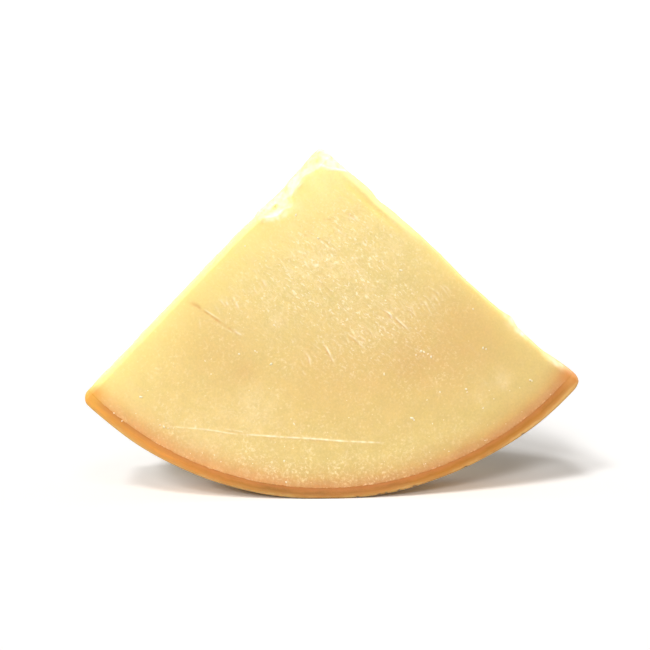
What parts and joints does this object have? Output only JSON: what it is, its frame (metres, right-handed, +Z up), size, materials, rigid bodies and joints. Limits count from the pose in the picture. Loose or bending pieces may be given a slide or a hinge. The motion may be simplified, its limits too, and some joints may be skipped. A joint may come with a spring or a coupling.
{
  "type": "wedge of hard grating cheese",
  "caption": "Quarter-wheel slab of hard grating cheese that stands on its curved rind, with smooth cut faces and a flaked edge below the tip.",
  "frame": {"origin": "bottom centre of the bounding box, on the surface the slab stands on", "axes": "+Z up from the foot on the rind to the tip, -Y out of the wide front cut face, +X along the width"},
  "size_m": [0.2932, 0.0508, 0.2075],
  "materials": {
    "cheese": "waxy satin paste"
  },
  "bodies": {
    "root": {"cheese_wedge": "cheese"}
  },
  "joints": []
}
